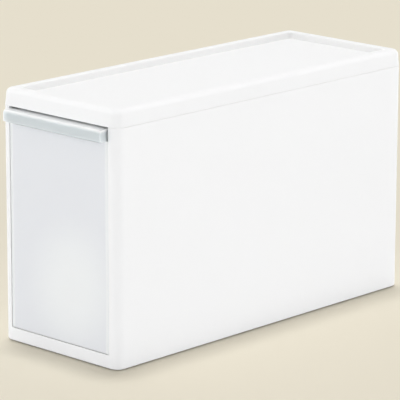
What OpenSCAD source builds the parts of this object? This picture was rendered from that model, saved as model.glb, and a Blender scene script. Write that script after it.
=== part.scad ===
// Stackable drawer box: a moulded case that is open at the top, a clip-on cap with a stacking
// recess, and one translucent drawer that runs on two floor rails and has a clip-on pull.
// X runs across the front, the drawer opens towards -Y, and Z = 0 is the surface it stands on.

/* [Case] */
// Width of the case across its front
case_w = 140; // [125:1:200]
// Depth of the case, from its front plane to its back
case_d = 370; // [280:1:460]
// Height of the case below its cap, without the feet
shell_h = 209; // [155:1:285]
// Wall thickness of the case and the cap
wall_t = 2.2; // [1.8:0.1:2.8]
// Radius of the upright corners
corner_r = 9; // [7.5:0.1:9.5]
// Radius of the edge round the underside
base_r = 1.8; // [1:0.1:3]
// Width of the frame strip at each side of the window
post_w = 10; // [9:0.5:14]
// Height of the sill under the window, and of the rails behind it
sill_h = 12; // [9:0.5:20]
// Radius of the window's lower corners
window_r = 1.5; // [0.5:0.1:3]
// Depth of the collar behind each post, where the drawer's ears stop
collar_d = 14; // [8:1:30]
// Chamfer on both sides of the seam between case and cap
seam_c = 0.35; // [0.2:0.05:0.6]

/* [Rails] */
// Width of each hollow floor rail
rail_w = 12; // [10:0.5:16]
// Distance from the window's edge to the middle of a rail
rail_inset = 20; // [18:0.5:26]
// Radius along the top edges of a rail
rail_r = 1.6; // [0.8:0.1:3]
// Distance from the middle of the back wall to each drawer buffer
buffer_x = 10; // [4:1:14]
// Width of a drawer buffer
buffer_w = 12; // [6:1:14]

/* [Cap] */
// Height of the cap's side
cap_h = 15; // [13:0.5:20]
// Width of the raised rim round the stacking recess
rim_w = 11.5; // [9.5:0.5:12.5]
// Depth of the stacking recess
recess_depth = 6; // [3:0.1:7]
// Radius of the recess's corners
recess_r = 4; // [3:0.5:8]
// How much the cap's side leans in
cap_draft = 1; // [0.5:0.1:2]
// Radius of the cap's outer top edge
cap_edge_r = 5; // [3:0.1:5.5]
// Chamfer along the inner edge of the rim
rim_c = 0.6; // [0.3:0.1:1]
// Thickness of the ribs under the cap
rib_t = 1.6; // [1.2:0.1:2]
// Height of the cross ribs under the cap, which end above the seam
rib_h = 6; // [3:0.5:6]
// Distance between the cross ribs
rib_pitch = 55; // [35:1:80]
// Distance from the case's front or back to the ends of the guide ribs
guide_inset = 22; // [18:1:40]

/* [Cap clips] */
// Length of a clip along the wall
clip_len = 16; // [10:1:24]
// How far a clip reaches below the seam
clip_drop = 5; // [4:0.1:5.4]
// Thickness of a clip
clip_t = 1.8; // [1.4:0.1:2.4]
// How far a clip's hook stands out
hook_out = 1; // [0.6:0.1:1.2]
// Distance from the case's front or back to the outer clips
clip_inset = 45; // [30:1:70]
// Distance from the middle to the clips at the back
clip_back_x = 35; // [20:1:42]

/* [Drawer] */
// Wall thickness of the drawer
bin_t = 2; // [1.5:0.1:2.6]
// Thickness of the drawer's front
front_t = 2.4; // [2:0.1:3.2]
// How far the front and the rim stand out past the drawer's sides
overhang = 2.4; // [1.8:0.1:3.5]
// How far the front lies behind the case's front plane
front_inset = 0.4; // [0.2:0.1:1.5]
// Chamfer round the face of the front
front_c = 0.3; // [0.2:0.1:0.8]
// Radius of the drawer's upright rear corners
bin_r = 9; // [7.5:0.5:14]
// Radius along the drawer's bottom edges
bin_base_r = 6; // [4:0.5:6.5]
// How much narrower each side of the drawer is at its bottom
bin_draft = 1.5; // [0.5:0.1:2]
// Height of the rim flange
flange_t = 2; // [1.5:0.1:3]
// Distance from the seam down to the drawer's rim
rim_drop = 6; // [6:0.1:9]
// Width of each skid under the drawer
skid_w = 6; // [4:0.5:9]
// Height of the skids
skid_h = 1.2; // [0.8:0.1:2]
// Distance from the drawer's ends to the skids
skid_inset = 16; // [14:1:40]
// Distance from the drawer's rear end to its stop ears
ear_back = 40; // [20:1:80]
// Length of a stop ear
ear_len = 10; // [6:1:20]
// Height of a stop ear at its tip
ear_tip_h = 4; // [3:0.5:6]
// Height of a stop ear where it meets the drawer's side
ear_root_h = 13; // [8:0.5:20]

/* [Pull] */
// How far the pull stands out in front of the case
pull_reach = 8; // [7:0.5:14]
// Height of the pull
pull_h = 10.7; // [9:0.1:14]
// Wall thickness of the pull
pull_t = 2.4; // [1.8:0.1:2.6]
// Radius of the pull's nose
nose_r = 3; // [2.8:0.1:4]
// Fall of the pull's top towards its nose
nose_fall = 0.4; // [0.1:0.1:1]
// Distance from the front's edge to the end of the pull
pull_end = 0.8; // [0.6:0.1:2.5]
// Depth of the finger pocket behind the pull
pocket_depth = 6; // [4:0.5:10]
// Height of the finger pocket
pocket_h = 11; // [10:0.5:16]
// Distance from the end of the pull to the finger pocket
pocket_end = 6; // [5:0.5:12]
// Width of each clip leg of the pull
leg_w = 24; // [16:1:30]
// Distance from the middle to each clip leg
leg_x = 30; // [18:1:34]
// Thickness of a clip leg
leg_t = 2; // [1.5:0.1:2.5]
// Length of a clip leg below the pull's top
leg_h = 11; // [10:0.5:14]
// Width of the barb on a clip leg
barb_w = 14; // [8:1:16]

/* [Feet] */
// Height of the feet under the case
foot_h = 1; // [0.8:0.1:2.4]
// Radius of a foot
foot_r = 6; // [4.5:0.5:6.5]
// Depth of the seat that holds a foot
foot_seat = 0.8; // [0.5:0.1:1]
// Radius of a foot's stem
stem_r = 2.5; // [2:0.1:3]
// Radius of the head that holds the stem
head_r = 3.4; // [3.2:0.1:4]
// Height of the head above the floor of the case
head_h = 2.6; // [2:0.1:4]

/* [Clearances] */
// Gap between the front's sides and the window
side_gap = 0.5; // [0.4:0.1:1.2]
// Gap between the front and the sill
sill_gap = 0.4; // [0.3:0.1:1]
// Gap between the pull's top and the cap
top_gap = 1.5; // [1.2:0.1:3]
// Running gap between skids and rails
run_gap = 0.2; // [0.1:0.05:0.4]
// Gap between the stop ears and the case's sides
ear_gap = 0.9; // [0.5:0.1:1.5]
// Gap between the drawer's rim and the guide ribs above it
guide_gap = 0.5; // [0.3:0.1:0.8]
// Space behind the closed drawer, which the buffers fill
rear_space = 4; // [3:0.5:8]
// Gap between the closed drawer and its buffers
buffer_gap = 0.3; // [0.2:0.05:0.6]
// Fitting gap of clips, stems and the pull's legs
fit_gap = 0.15; // [0.05:0.05:0.25]
// Gap between the feet and the rim of the box below
stack_gap = 0.5; // [0.3:0.1:1]

/* [Hidden] */
$fn = 64;
past = 1;                                   // how far a cutter runs past what it cuts
hook_h = 2;                                 // height of a cap clip's hook
recess_draft = 0.6;                         // how much the recess's wall leans out
case_color = [0.95, 0.95, 0.95];
bin_color = [0.88, 0.9, 0.92, 0.85];
pull_color = [0.8, 0.86, 0.88, 0.9];
foot_color = [0.86, 0.86, 0.85];

// Case: Y = 0 is its front plane and Z = 0 its underside
case_h = shell_h + cap_h;
panel_low = cap_h - recess_depth - wall_t;  // underside of the cap's panel above the seam
window_x = case_w / 2 - post_w;
inner_x = case_w / 2 - wall_t;
rail_x = window_x - rail_inset;
clip_places = [clip_inset, case_d / 2, case_d - clip_inset];

// Drawer, closed
face_x = window_x - side_gap;
front_y = front_inset + front_t;            // back of the drawer's front
bin_x = face_x - overhang;
bin_end = case_d - wall_t - rear_space;
bin_z = sill_h + run_gap + skid_h;
bin_top = shell_h - rim_drop;
flange_end = bin_end + overhang;
ear_x = inner_x - ear_gap;
ear_y = bin_end - ear_back - ear_len;       // stop face of the ears
guide_x = face_x - (overhang + bin_t) / 2;  // middle of the drawer's rim

// Pull, on the closed drawer
pull_x = face_x - pull_end;
pull_top = shell_h - top_gap;
pull_base = pull_top - pull_h;
wall_top = pull_top - pull_t;               // what the pull's plate sits on
nose_y = nose_r - pull_reach;
nose_z = pull_top - nose_fall - nose_r;
pocket_x = pull_x - pocket_end;
pocket_z = wall_top - pocket_h;
pocket_y = front_inset + pocket_depth;      // front of the pocket's rear wall
leg_y = pocket_y + front_t + fit_gap;
leg_end = pull_top - leg_h;
barb_h = 3;
barb_lip = 0.6;
barb_out = fit_gap + front_t / 2;
barb_z = leg_end + 1;

// Feet
foot_x = case_w / 2 - rim_w - stack_gap - foot_r;
foot_front = rim_w + stack_gap + foot_r;
foot_back = case_d - foot_front;

// Quarter of a disc, in the quadrant +X +Y
module quarter(r) {
    intersection() {
        circle(r);
        square(r);
    }
}

// The child profile carried round a rounded rectangle: X = r lies on its outline
module round_edge(w, d, r) {
    for (i = [0:3]) {
        across = i % 2 == 0 ? w : d;
        along = (i % 2 == 0 ? d : w) - 2 * r;
        rotate([0, 0, 90 * i]) translate([across / 2 - r, along / 2, 0]) {
            rotate_extrude(angle = 90) children();
            rotate([90, 0, 0]) linear_extrude(along) children();
        }
    }
}

// A plate from z to z + h whose edge has the child profile
module slab(w, d, r, z, h) {
    round_edge(w, d, r) children();
    translate([r - w / 2, r - d / 2, z]) cube([w - 2 * r, d - 2 * r, h]);
}

// A plate with straight sides
module plain_slab(w, d, r, z, h) {
    slab(w, d, r, z, h) translate([0, z]) square([r, h]);
}

// Edge profile of height h with its lower corner rounded, narrower by draft at its foot
module low_round(r, h, edge_r, draft = 0) {
    polygon([[0, edge_r], [r - draft, edge_r], [r, h], [0, h]]);
    square([r - draft - edge_r, edge_r]);
    translate([r - draft - edge_r, edge_r]) mirror([0, 1]) quarter(edge_r);
}

// The child profile, drawn in Y and Z, as a bar of length w about X = 0
module bar(w) {
    translate([-w / 2, 0, 0]) rotate([90, 0, 90]) linear_extrude(w) children();
}

// The child profile, drawn in X and Z, running from y to y + d
module run(y, d) {
    translate([0, y + d, 0]) rotate([90, 0, 0]) linear_extrude(d) children();
}

// Both sides of the box
module both_sides() {
    children();
    mirror([1, 0, 0]) children();
}

// From case coordinates to the part's own frame
module placed() {
    translate([0, (pull_reach - case_d) / 2, foot_h]) children();
}

// ---- Case ----

module case_skin() {
    difference() {
        slab(case_w, case_d, corner_r, 0, shell_h) {
            low_round(corner_r, shell_h - seam_c, base_r);
            translate([0, shell_h - seam_c])
                polygon([[0, 0], [corner_r, 0], [corner_r - seam_c, seam_c], [0, seam_c]]);
        }
        translate([0, 0, wall_t])
            slab(inner_x * 2, case_d - 2 * wall_t, corner_r - wall_t, 0, shell_h)
                low_round(corner_r - wall_t, shell_h, base_r);
    }
}

module window_cut() {
    height = shell_h - sill_h + past;
    run(-past, wall_t + 2 * past) translate([0, sill_h]) {
        translate([-window_x, window_r]) square([2 * window_x, height]);
        translate([window_r - window_x, 0]) square([2 * (window_x - window_r), window_r]);
        translate([window_x - window_r, window_r]) mirror([0, 1]) quarter(window_r);
        translate([window_r - window_x, window_r]) rotate(180) quarter(window_r);
    }
}

// A rail is a hollow bead, open underneath
module rail_outline() {
    translate([-rail_w / 2, 0]) square([rail_w, sill_h - rail_r]);
    translate([rail_r - rail_w / 2, sill_h - rail_r]) square([rail_w - 2 * rail_r, rail_r]);
    translate([rail_w / 2 - rail_r, sill_h - rail_r]) quarter(rail_r);
    translate([rail_r - rail_w / 2, sill_h - rail_r]) mirror([1, 0]) quarter(rail_r);
}

module rail_hollow() {
    hollow_w = rail_w - 2 * wall_t;
    translate([-hollow_w / 2, -past]) square([hollow_w, sill_h - wall_t + past]);
}

module foot_holes() {
    for (y = [foot_front, foot_back]) both_sides() translate([foot_x, y, 0]) {
        translate([0, 0, -past]) cylinder(r = foot_r + fit_gap, h = foot_seat + past);
        cylinder(r = stem_r + fit_gap, h = wall_t + past);
    }
}

// Blind pockets in the walls for the cap's hooks
module hook_pockets() {
    depth = hook_out + past;
    length = clip_len + 4 * fit_gap;
    low = shell_h - clip_drop - fit_gap;
    for (y = clip_places) both_sides()
        translate([inner_x - past, y - length / 2, low]) cube([depth, length, hook_h + 2 * fit_gap]);
    both_sides() translate([clip_back_x - length / 2, case_d - wall_t - past, low])
        cube([length, depth, hook_h + 2 * fit_gap]);
}

module body_shell() {
    color(case_color) placed() difference() {
        union() {
            difference() {
                translate([0, case_d / 2, 0]) case_skin();
                window_cut();
            }
            both_sides() {
                translate([window_x, wall_t / 2, wall_t / 2])
                    cube([wall_t, collar_d - wall_t / 2, shell_h - wall_t / 2]);
                translate([rail_x, 0, 0]) run(wall_t / 2, case_d - wall_t) rail_outline();
                translate([buffer_x, flange_end + buffer_gap, bin_top - 2 * flange_t])
                    cube([buffer_w, case_d - wall_t / 2 - flange_end - buffer_gap, 3 * flange_t]);
            }
        }
        both_sides() translate([rail_x, 0, 0]) run(wall_t, case_d - 2 * wall_t) rail_hollow();
        foot_holes();
        hook_pockets();
    }
}

// ---- Cap ----

// The cap's outside, or its inside when t is a wall thickness, from low upwards
module cap_form(t, low) {
    r = corner_r - t;
    edge = cap_edge_r - t;
    top = cap_h - cap_edge_r;
    slab(case_w - 2 * t, case_d - 2 * t, r, low, cap_h - t - low) {
        polygon([[0, low], [r - seam_c, low], [r, low + seam_c], [r - cap_draft, top], [0, top]]);
        translate([0, top]) square([r - cap_draft - edge, edge]);
        translate([r - cap_draft - edge, top]) quarter(edge);
    }
}

module stacking_recess() {
    low = cap_h - recess_depth;
    slab(case_w - 2 * rim_w, case_d - 2 * rim_w, recess_r, low, recess_depth + past) {
        polygon([
            [0, low], [recess_r - recess_draft, low], [recess_r, cap_h - rim_c],
            [recess_r + rim_c, cap_h], [recess_r + rim_c, cap_h + past], [0, cap_h + past]
        ]);
    }
}

// A clip with its hook outwards along +X, its root on the seam and its middle on Y = 0
module cap_clip() {
    back = -fit_gap - clip_t;
    translate([0, clip_len / 2, 0]) rotate([90, 0, 0]) linear_extrude(clip_len)
        polygon([
            [back, -clip_drop], [-fit_gap, -clip_drop], [hook_out - fit_gap, hook_h / 2 - clip_drop],
            [hook_out - fit_gap, hook_h - clip_drop], [-fit_gap, hook_h - clip_drop], [-fit_gap, 0],
            [wall_t / 2, 0], [wall_t / 2, clip_t], [back, clip_t]
        ]);
}

module cap_ribs() {
    low = max(panel_low - rib_h, fit_gap);
    count = floor((case_d - 2 * guide_inset) / rib_pitch);
    first = (case_d - count * rib_pitch) / 2;
    for (i = [0:count])
        translate([-inner_x, first + i * rib_pitch - rib_t / 2, low])
            cube([2 * inner_x, rib_t, panel_low - low + wall_t / 2]);
    guide_low = bin_top + guide_gap - shell_h;
    both_sides() translate([guide_x - rib_t / 2, guide_inset, guide_low])
        cube([rib_t, case_d - 2 * guide_inset, panel_low - guide_low + wall_t / 2]);
}

module top_cap() {
    color(case_color) placed() translate([0, 0, shell_h]) {
        translate([0, case_d / 2, 0]) difference() {
            cap_form(0, 0);
            stacking_recess();
            difference() {
                cap_form(wall_t, -past);
                plain_slab(
                    case_w - 2 * (rim_w - wall_t), case_d - 2 * (rim_w - wall_t),
                    recess_r + wall_t, panel_low, cap_h
                );
            }
        }
        cap_ribs();
        for (y = clip_places) both_sides() translate([inner_x, y, 0]) cap_clip();
        both_sides() translate([clip_back_x, case_d - wall_t, 0]) rotate([0, 0, 90]) cap_clip();
    }
}

// ---- Drawer ----

// The bin's outside, or its inside when t is a wall thickness, cut off at y behind the front
module bin_form(t, y) {
    r = bin_r - t;
    start = y - bin_r;
    length = bin_end - t - start;
    height = bin_top - bin_z;
    intersection() {
        translate([0, start + length / 2, bin_z + t])
            slab(2 * (bin_x - t), length, r, 0, height)
                low_round(r, height, bin_base_r - t, bin_draft);
        translate([-case_w, y, 0]) cube([2 * case_w, case_d, case_h]);
    }
}

// The rim starts behind the finger pocket
module bin_flange() {
    r = bin_r + overhang;
    start = pocket_y - r;
    length = flange_end - start;
    intersection() {
        translate([0, start + length / 2, 0])
            plain_slab(2 * face_x, length, r, bin_top - flange_t, flange_t);
        translate([-case_w, pocket_y, 0]) cube([2 * case_w, case_d, case_h]);
    }
}

module stop_ear() {
    run(ear_y, ear_len) polygon([
        [bin_x - bin_t, bin_top - ear_root_h], [bin_x - bin_t / 2, bin_top - ear_root_h],
        [ear_x, bin_top - ear_tip_h], [ear_x, bin_top], [bin_x - bin_t, bin_top]
    ]);
}

module skid() {
    r = skid_w / 2;
    first = front_y + skid_inset + r;
    last = bin_end - skid_inset - r;
    translate([rail_x, 0, sill_h + run_gap]) {
        translate([-r, first, 0]) cube([skid_w, last - first, skid_h + bin_t / 2]);
        translate([0, first, 0]) rotate(180) rotate_extrude(angle = 180) square([r, skid_h + bin_t / 2]);
        translate([0, last, 0]) rotate_extrude(angle = 180) square([r, skid_h + bin_t / 2]);
    }
}

// The front's plate, seen from above: half width x, with chamfered face edges
module front_plate(x, z, h) {
    translate([0, 0, z]) linear_extrude(h) polygon([
        [-x, front_inset + front_c], [front_c - x, front_inset], [x - front_c, front_inset],
        [x, front_inset + front_c], [x, front_y], [-x, front_y]
    ]);
}

module drawer_bin() {
    pocket_out = bin_x - bin_t / 2;
    color(bin_color) placed() difference() {
        union() {
            difference() {
                union() {
                    bin_form(0, front_inset + front_t / 2);
                    bin_flange();
                }
                bin_form(bin_t, front_y);
            }
            front_plate(face_x, sill_h + sill_gap, pull_base - sill_h - sill_gap);
            front_plate(pull_x, pull_base, wall_top - pull_base);
            translate([-pocket_out, front_inset + front_t / 2, pocket_z - front_t])
                cube([2 * pocket_out, pocket_depth + front_t / 2, pocket_h + front_t]);
            both_sides() {
                stop_ear();
                skid();
            }
        }
        translate([-pocket_x, front_inset - past, pocket_z])
            cube([2 * pocket_x, pocket_depth + past, pocket_h + past]);
        both_sides()
            translate([leg_x - barb_w / 2 - fit_gap, pocket_y - past, barb_z - fit_gap])
                cube([barb_w + 2 * fit_gap, front_t + 2 * past, barb_h + 2 * fit_gap]);
    }
}

// ---- Pull ----

// Plate, nose and lip of the pull
module pull_hook() {
    lip_r = pull_t / 2;
    polygon([
        [nose_y, nose_z + nose_r], [0, pull_top], [leg_y + leg_t, pull_top],
        [leg_y + leg_t, wall_top], [0, wall_top], [nose_y, nose_z + nose_r - pull_t]
    ]);
    translate([nose_y, nose_z]) mirror([1, 0]) difference() {
        quarter(nose_r);
        circle(nose_r - pull_t);
    }
    translate([-pull_reach, pull_base + lip_r]) square([pull_t, nose_z - pull_base - lip_r]);
    translate([lip_r - pull_reach, pull_base + lip_r]) {
        mirror([0, 1]) quarter(lip_r);
        rotate(180) quarter(lip_r);
    }
}

// What closes each end of the pull, between its lip and the drawer's front
module pull_end_wall() {
    lip_r = pull_t / 2;
    translate([nose_y, nose_z]) mirror([1, 0]) quarter(nose_r);
    translate([-pull_reach, pull_base + lip_r])
        square([pull_reach + front_inset, nose_z - pull_base - lip_r]);
    translate([lip_r - pull_reach, pull_base]) square([pull_reach - lip_r + front_inset, lip_r]);
    translate([lip_r - pull_reach, pull_base + lip_r]) rotate(180) quarter(lip_r);
    polygon([
        [nose_y, nose_z], [front_inset, nose_z], [front_inset, wall_top],
        [0, wall_top], [0, pull_top], [nose_y, nose_z + nose_r]
    ]);
}

module pull_leg() {
    translate([leg_x, 0, 0]) {
        bar(leg_w) translate([leg_y, leg_end]) square([leg_t, leg_h - pull_t]);
        bar(barb_w) translate([leg_y, barb_z]) polygon([
            [0, 0], [-barb_out, barb_h - barb_lip], [-barb_out, barb_h], [0, barb_h]
        ]);
    }
}

module pull_handle() {
    color(pull_color) placed() {
        bar(2 * pull_x) pull_hook();
        both_sides() {
            translate([pull_x - pull_t / 2, 0, 0]) bar(pull_t) pull_end_wall();
            pull_leg();
        }
    }
}

// ---- Feet ----

module foot(x, y) {
    color(foot_color) placed() translate([x, y, 0]) rotate_extrude() polygon([
        [0, -foot_h], [foot_r - foot_h / 2, -foot_h], [foot_r, -foot_h / 2], [foot_r, foot_seat],
        [stem_r, foot_seat], [stem_r, wall_t], [head_r, wall_t], [stem_r / 2, wall_t + head_h],
        [0, wall_t + head_h]
    ]);
}

body_shell();
top_cap();
drawer_bin();
pull_handle();
foot(-foot_x, foot_front);  // foot_front_left
foot(foot_x, foot_front);  // foot_front_right
foot(-foot_x, foot_back);  // foot_rear_left
foot(foot_x, foot_back);  // foot_rear_right
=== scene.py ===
from math import cos, pi, radians, sin
import bpy
from mathutils import Matrix, Vector


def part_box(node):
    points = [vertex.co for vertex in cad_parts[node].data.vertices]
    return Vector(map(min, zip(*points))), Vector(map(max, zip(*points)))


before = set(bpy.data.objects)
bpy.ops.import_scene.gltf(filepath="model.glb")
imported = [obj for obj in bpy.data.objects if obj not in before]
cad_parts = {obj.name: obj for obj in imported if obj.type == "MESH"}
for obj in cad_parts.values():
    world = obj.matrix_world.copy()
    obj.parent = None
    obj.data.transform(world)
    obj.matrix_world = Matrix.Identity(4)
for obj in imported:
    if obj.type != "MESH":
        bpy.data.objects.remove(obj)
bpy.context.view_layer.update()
print("frame loaded:", ", ".join(sorted(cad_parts)))


def toLinear(hexColour):
    # sRGB hex to the linear colour that shaders take
    parts = [int(hexColour[i:i + 2], 16) / 255 for i in (0, 2, 4)]
    return [p / 12.92 if p <= 0.04045 else ((p + 0.055) / 1.055) ** 2.4 for p in parts] + [1]


def toMetres(mm):
    return mm / 1000


def addNode(tree, kind, settings=None, links=None):
    # settings go to sockets, or to the node's own properties; links feed sockets
    node = tree.nodes.new(kind)
    for name, value in (settings or {}).items():
        if isinstance(name, int) or name in node.inputs:
            node.inputs[name].default_value = value
        else:
            setattr(node, name, value)
    for name, source in (links or {}).items():
        tree.links.new(source, node.inputs[name])
    return node


def newMaterial(name):
    # an empty node tree, and the place of each point in its own piece
    material = bpy.data.materials.new(name)
    material.use_nodes = True
    tree = material.node_tree
    tree.nodes.clear()
    place = addNode(tree, "ShaderNodeTexCoord")
    return material, tree, place.outputs["Object"]


def finishMaterial(tree, shader):
    addNode(tree, "ShaderNodeOutputMaterial", links={"Surface": shader.outputs[0]})


cameraSet = {
    "lens": 255.83,                      # mm
    "sensor": 36,                        # mm, its width
    "distance": 2.5403,                  # m from the aim point
    "azimuth": 43.40,                    # degrees round from the front to the right side
    "elevation": 14.29,                  # degrees
    "roll": 0.18,                        # degrees
    "aim": (-0.0037, -0.0027, 0.1044),   # m, in the part's frame
    "clip": (0.05, 50),                  # m, nearest and farthest that it sees
}


def makeCamera():
    turn, lift = radians(cameraSet["azimuth"]), radians(cameraSet["elevation"])
    forward = Vector((-sin(turn) * cos(lift), cos(turn) * cos(lift), -sin(lift)))
    across = Vector((cos(turn), sin(turn), 0))
    up = across.cross(forward)
    roll = radians(cameraSet["roll"])
    right = across * cos(roll) + up * sin(roll)
    top = up * cos(roll) - across * sin(roll)
    data = bpy.data.cameras.new("productCamera")
    data.sensor_width = cameraSet["sensor"]
    data.lens = cameraSet["lens"]
    data.clip_start, data.clip_end = cameraSet["clip"]
    camera = bpy.data.objects.new("productCamera", data)
    place = Vector(cameraSet["aim"]) - forward * cameraSet["distance"]
    facing = Matrix((right, top, -forward)).transposed().to_4x4()
    camera.matrix_world = Matrix.Translation(place) @ facing
    bpy.context.scene.collection.objects.link(camera)
    bpy.context.scene.camera = camera
    bpy.context.scene.view_settings.view_transform = "Standard"


makeCamera()
print("camera made")

studioSet = {
    "backdrop": "E6DFCD",        # warm cream paper
    "paintedShadeColour": "E2DBCA",        # painted shade: the paper painted darker round the object, where the object lights it too
    "toneFrom": (0.3, 1.0),      # m from the object's middle over which that painted shade fades out
    "bounce": "FCFCFC",          # what the paper gives back to the object
    "floorSize": 16,             # m
    "skyLevel": 0.58,            # brightness of the studio's pale ceiling, 1 being white
    "wallLevel": 2.8,            # what the lit walls add to it, strongest at the horizon
    "wallFall": 8,               # how quickly that dies away upwards
    "wallTurn": 0.5,             # share by which the front right is dimmer than front and right
    "glossLevels": (1, 3.4),     # what glossy faces mirror: low in the studio, and its ceiling
    "ceilingFrom": (0.4, 0.7),   # height on the unit sphere over which the ceiling begins
    # the lamp: turn from the front towards the right side and height in degrees, width of its
    # disc in degrees, and its level on a face square to it
    "lamps": {"overheadLamp": (-128, 84.1, 9.5, 0.36)},
}


def seenBy(tree, kinds):
    # 1 for rays of these kinds, 0 for the rest
    path = addNode(tree, "ShaderNodeLightPath")
    seen = path.outputs[kinds[0]]
    for kind in kinds[1:]:
        seen = addNode(tree, "ShaderNodeMath", {"operation": "MAXIMUM"}, {
            0: seen, 1: path.outputs[kind]}).outputs[0]
    return seen


def makeWorld():
    # A white studio whose walls are lit all round, so upright faces get as much as level ones
    world = bpy.data.worlds.new("studio")
    bpy.context.scene.world = world
    world.use_nodes = True
    tree = world.node_tree
    tree.nodes.clear()
    place = addNode(tree, "ShaderNodeTexCoord")
    axes = addNode(tree, "ShaderNodeSeparateXYZ", links={0: place.outputs["Generated"]})
    height = addNode(tree, "ShaderNodeMath", {"operation": "ABSOLUTE"}, {0: axes.outputs[2]})
    # light from the walls, dying away upwards
    below = addNode(tree, "ShaderNodeMath", {"operation": "SUBTRACT", 0: 1}, {1: height.outputs[0]})
    fall = addNode(tree, "ShaderNodeMath", {"operation": "POWER", 1: studioSet["wallFall"]}, {
        0: below.outputs[0]})
    # x times y is a half at the corners of the studio, and below zero at its front right
    across = addNode(tree, "ShaderNodeMath", {"operation": "MULTIPLY"}, {
        0: axes.outputs[0], 1: axes.outputs[1]})
    turn = addNode(tree, "ShaderNodeMath", {
        "operation": "MULTIPLY_ADD", 1: 2 * studioSet["wallTurn"], 2: 1}, {0: across.outputs[0]})
    walls = addNode(tree, "ShaderNodeMath", {"operation": "MULTIPLY"}, {
        0: fall.outputs[0], 1: turn.outputs[0]})
    level = addNode(tree, "ShaderNodeMath", {
        "operation": "MULTIPLY_ADD", 1: studioSet["wallLevel"], 2: studioSet["skyLevel"]}, {
        0: walls.outputs[0]})
    # glossy faces mirror a plain studio with a brighter ceiling
    low, high = studioSet["glossLevels"]
    start, end = studioSet["ceilingFrom"]
    mirrored = addNode(tree, "ShaderNodeMapRange", {
        "interpolation_type": "SMOOTHSTEP", 1: start, 2: end, 3: low, 4: high}, {
        0: height.outputs[0]})
    strength = addNode(tree, "ShaderNodeMix", {"data_type": "FLOAT"}, {
        0: seenBy(tree, ("Is Glossy Ray",)), 2: level.outputs[0], 3: mirrored.outputs[0]})
    light = addNode(tree, "ShaderNodeBackground", {"Color": (1, 1, 1, 1)}, {
        "Strength": strength.outputs[0]})
    seen = addNode(tree, "ShaderNodeBackground", {
        "Color": toLinear(studioSet["backdrop"]), "Strength": 1})
    mix = addNode(tree, "ShaderNodeMixShader", links={
        0: seenBy(tree, ("Is Camera Ray", "Is Transmission Ray")), 1: light.outputs[0],
        2: seen.outputs[0]})
    addNode(tree, "ShaderNodeOutputWorld", links={"Surface": mix.outputs[0]})


def mattPaper():
    # Matt cream paper: cream to the eye with painted shade round the object, neutral in what it gives
    # back to the object
    material, tree, place = newMaterial("mattPaper")
    away = addNode(tree, "ShaderNodeVectorMath", {"operation": "LENGTH"}, {0: place})
    # painted shade: darker paper colour near the object's middle, fading to the backdrop further out
    near, far = studioSet["toneFrom"]
    share = addNode(tree, "ShaderNodeMapRange", {
        "interpolation_type": "SMOOTHSTEP", 1: near, 2: far}, {0: away.outputs["Value"]})
    paintedShadeTone = addNode(tree, "ShaderNodeMix", {
        "data_type": "RGBA", 6: toLinear(studioSet["paintedShadeColour"]), 7: toLinear(studioSet["backdrop"])}, {
        0: share.outputs[0]})
    colour = addNode(tree, "ShaderNodeMix", {
        "data_type": "RGBA", 6: toLinear(studioSet["bounce"])}, {
        0: seenBy(tree, ("Is Camera Ray", "Is Glossy Ray", "Is Transmission Ray")),
        7: paintedShadeTone.outputs[2]})
    shader = addNode(tree, "ShaderNodeBsdfDiffuse", links={"Color": colour.outputs[2]})
    finishMaterial(tree, shader)
    return material


def makeFloor():
    half = studioSet["floorSize"] / 2
    corners = [(-half, -half, 0), (half, -half, 0), (half, half, 0), (-half, half, 0)]
    mesh = bpy.data.meshes.new("floor")
    mesh.from_pydata(corners, [], [(0, 1, 2, 3)])
    mesh.materials.append(mattPaper())
    floor = bpy.data.objects.new("floor", mesh)
    bpy.context.scene.collection.objects.link(floor)


def makeLamps():
    for name, (turn, height, width, level) in studioSet["lamps"].items():
        data = bpy.data.lights.new(name, "SUN")
        data.energy = level * pi
        data.angle = radians(width)
        lamp = bpy.data.objects.new(name, data)
        a, e = radians(turn), radians(height)
        towards = Vector((sin(a) * cos(e), -cos(a) * cos(e), sin(e)))
        lamp.rotation_euler = towards.to_track_quat("Z", "Y").to_euler()
        bpy.context.scene.collection.objects.link(lamp)


makeWorld()
makeFloor()
makeLamps()
print("studio made")

mouldSet = {
    "grainDetail": 2,            # octaves of the grain's noise
    "grainBreak": 0.55,          # strength of each octave beside the one before
    "patchDetail": 3,            # octaves of the patches' noise
    "patchSpan": (0.3, 0.7),     # where most of that noise lies
}


def mouldGrain(tree, place, sizeMm, heightMm):
    # spark-eroded texture of the mould, as a bump
    noise = addNode(tree, "ShaderNodeTexNoise", {
        "Scale": 1 / toMetres(sizeMm), "Detail": mouldSet["grainDetail"],
        "Roughness": mouldSet["grainBreak"]}, {"Vector": place})
    return addNode(tree, "ShaderNodeBump", {"Strength": 1, "Distance": toMetres(heightMm)}, {
        "Height": noise.outputs[0]})


caseSet = {
    "colour": "F7F7F6",
    "ior": 1.49,
    "shine": 0.05,               # level of the mirrored light, nearly lost in the grain
    "rough": (0.48, 0.54),       # changes slowly between these over the faces
    "patchMm": 40,               # size of those changes
    "milky": 1,                  # share of the light that is scattered inside the plastic
    "depthMm": 0.8,              # how far that light spreads
    "grainMm": 0.7,              # the real grain is finer; this is as fine as the render shows
    "grainHeightMm": 0.006,
}


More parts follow.
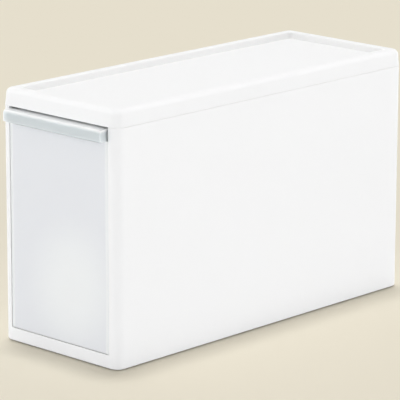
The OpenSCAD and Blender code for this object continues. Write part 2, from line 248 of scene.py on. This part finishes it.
def whitePolypropylene():
    # White polypropylene, injection moulded in a spark-eroded mould: an even satin white.
    # IOR 1.49 is polypropylene's, and 0.5 is a usual roughness for such a face
    material, tree, place = newMaterial("whiteMouldedPolypropylene")
    bump = mouldGrain(tree, place, caseSet["grainMm"], caseSet["grainHeightMm"])
    patches = addNode(tree, "ShaderNodeTexNoise", {
        "Scale": 1 / toMetres(caseSet["patchMm"]), "Detail": mouldSet["patchDetail"]}, {
        "Vector": place})
    low, high = mouldSet["patchSpan"]
    smooth, dull = caseSet["rough"]
    rough = addNode(tree, "ShaderNodeMapRange", {1: low, 2: high, 3: smooth, 4: dull}, {
        0: patches.outputs[0]})
    shader = addNode(tree, "ShaderNodeBsdfPrincipled", {
        "Base Color": toLinear(caseSet["colour"]), "IOR": caseSet["ior"],
        "Specular IOR Level": caseSet["shine"], "Subsurface Weight": caseSet["milky"],
        "Subsurface Radius": (1, 1, 1), "Subsurface Scale": toMetres(caseSet["depthMm"])}, {
        "Roughness": rough.outputs[0], "Normal": bump.outputs[0]})
    finishMaterial(tree, shader)
    return material


drawerSet = {
    "clear": "E7E9ED",           # the front's own colour, outside the painted light
    "paintedLightColour": "F2F5F6",          # painted light: the pool and strips, in place of light coming through from inside
    "pool": (0.016, 0, 0.063),   # m, middle of the painted pool of light in the front
    "poolMm": (15, 74),          # half its height: all painted light, and all faded
    "poolSlim": 1.15,            # height over width
    "poolTilt": -25,             # degrees; below zero its top leans to the right
    "stripMm": (1, 4),           # painted strips of light, in from the pull's end where the bin's walls back the front
    "ior": 1.49,
    "rough": 0.42,
    "milky": 1,                  # share of the light that is scattered inside the plastic
    "depthMm": 3,                # how far that light spreads
    "grainMm": 0.7,              # the real grain is finer; this is as fine as the render shows
    "grainHeightMm": 0.004,
}


def frostedPolypropylene():
    # Natural polypropylene with a frosted face: milky with real scattering, and with a pool and strips
    # of light painted into its colour.
    # IOR 1.49 is polypropylene's, and 0.4 is a usual roughness for a frosted mould
    material, tree, place = newMaterial("frostedPolypropylene")
    bump = mouldGrain(tree, place, drawerSet["grainMm"], drawerSet["grainHeightMm"])
    # the painted pool of light: distance from its middle in a tilted and narrowed upright plane
    apart = addNode(tree, "ShaderNodeVectorMath", {"operation": "SUBTRACT", 1: drawerSet["pool"]}, {
        0: place})
    turned = addNode(tree, "ShaderNodeVectorRotate", {
        "rotation_type": "Y_AXIS", "Angle": radians(drawerSet["poolTilt"])}, {
        "Vector": apart.outputs[0]})
    slim = addNode(tree, "ShaderNodeVectorMath", {
        "operation": "MULTIPLY", 1: (drawerSet["poolSlim"], 0, 1)}, {0: turned.outputs[0]})
    away = addNode(tree, "ShaderNodeVectorMath", {"operation": "LENGTH"}, {0: slim.outputs[0]})
    core, rim = [toMetres(mm) for mm in drawerSet["poolMm"]]
    pool = addNode(tree, "ShaderNodeMapRange", {
        "interpolation_type": "SMOOTHSTEP", 1: core, 2: rim, 3: 1, 4: 0}, {0: away.outputs["Value"]})
    # the painted strips of light down both sides
    axes = addNode(tree, "ShaderNodeSeparateXYZ", links={0: place})
    aside = addNode(tree, "ShaderNodeMath", {"operation": "ABSOLUTE"}, {0: axes.outputs[0]})
    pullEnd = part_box("pull_handle")[1][0]
    narrow, wide = [toMetres(mm) for mm in drawerSet["stripMm"]]
    paintedStrip = addNode(tree, "ShaderNodeMapRange", {
        "interpolation_type": "SMOOTHSTEP", 1: pullEnd - wide, 2: pullEnd - narrow}, {
        0: aside.outputs[0]})
    # painted light: whichever of the pool and the strips is lighter, mixed into the base colour
    light = addNode(tree, "ShaderNodeMath", {"operation": "MAXIMUM"}, {
        0: pool.outputs[0], 1: paintedStrip.outputs[0]})
    colour = addNode(tree, "ShaderNodeMix", {
        "data_type": "RGBA", 6: toLinear(drawerSet["clear"]), 7: toLinear(drawerSet["paintedLightColour"])}, {
        0: light.outputs[0]})
    shader = addNode(tree, "ShaderNodeBsdfPrincipled", {
        "IOR": drawerSet["ior"], "Roughness": drawerSet["rough"],
        "Subsurface Weight": drawerSet["milky"], "Subsurface Radius": (1, 1, 1),
        "Subsurface Scale": toMetres(drawerSet["depthMm"])}, {
        "Base Color": colour.outputs[2], "Normal": bump.outputs[0]})
    finishMaterial(tree, shader)
    return material


pullSet = {
    "colour": "D3E2E7",          # cool tint of the pull's upright faces
    "paintedHighlightColour": "F6FBFC",       # painted highlight: the flat top and nose painted lighter, where light falls from above
    "noseMm": (0.3, 3.2),        # depths under the top over which the painted highlight fades into the tint
    "ior": 1.49,
    "rough": 0.16,
    "milky": 1,                  # share of the light that is scattered inside the plastic
    "depthMm": 20,               # how far that light spreads
}


def clarifiedPolypropylene():
    # Clarified polypropylene from a polished mould: glossier, with a cool tint and a painted highlight
    # along its top.
    # IOR 1.49 is polypropylene's, and 0.15 is a usual roughness for a moulded gloss
    material, tree, place = newMaterial("clarifiedPolypropylene")
    axes = addNode(tree, "ShaderNodeSeparateXYZ", links={0: place})
    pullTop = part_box("pull_handle")[1][2]
    shallow, deep = [toMetres(mm) for mm in pullSet["noseMm"]]
    # painted highlight: lighter colour at the pull's top, fading downwards over the nose
    share = addNode(tree, "ShaderNodeMapRange", {
        "interpolation_type": "SMOOTHSTEP", 1: pullTop - deep, 2: pullTop - shallow}, {
        0: axes.outputs[2]})
    colour = addNode(tree, "ShaderNodeMix", {
        "data_type": "RGBA", 6: toLinear(pullSet["colour"]), 7: toLinear(pullSet["paintedHighlightColour"])}, {
        0: share.outputs[0]})
    shader = addNode(tree, "ShaderNodeBsdfPrincipled", {
        "IOR": pullSet["ior"], "Roughness": pullSet["rough"],
        "Subsurface Weight": pullSet["milky"], "Subsurface Radius": (1, 1, 1),
        "Subsurface Scale": toMetres(pullSet["depthMm"])}, {"Base Color": colour.outputs[2]})
    finishMaterial(tree, shader)
    return material


footSet = {
    "colour": "DCDCDA",
    "ior": 1.5,
    "rough": 0.8,
    "grainMm": 0.5,
    "grainHeightMm": 0.01,
}


def mouldedElastomer():
    # Moulded thermoplastic elastomer: matt, a soft greyish white, with the usual IOR of 1.5
    material, tree, place = newMaterial("mouldedElastomer")
    bump = mouldGrain(tree, place, footSet["grainMm"], footSet["grainHeightMm"])
    shader = addNode(tree, "ShaderNodeBsdfPrincipled", {
        "Base Color": toLinear(footSet["colour"]), "IOR": footSet["ior"],
        "Roughness": footSet["rough"]}, {"Normal": bump.outputs[0]})
    finishMaterial(tree, shader)
    return material


def finishNode(name, material):
    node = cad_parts[name]
    for slot in node.material_slots:
        slot.material = material


white = whitePolypropylene()
finishNode("body_shell", white)
finishNode("top_cap", white)
finishNode("drawer_bin", frostedPolypropylene())
finishNode("pull_handle", clarifiedPolypropylene())
footMaterial = mouldedElastomer()
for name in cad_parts:
    if name.startswith("foot_"):
        finishNode(name, footMaterial)
print("materials made")
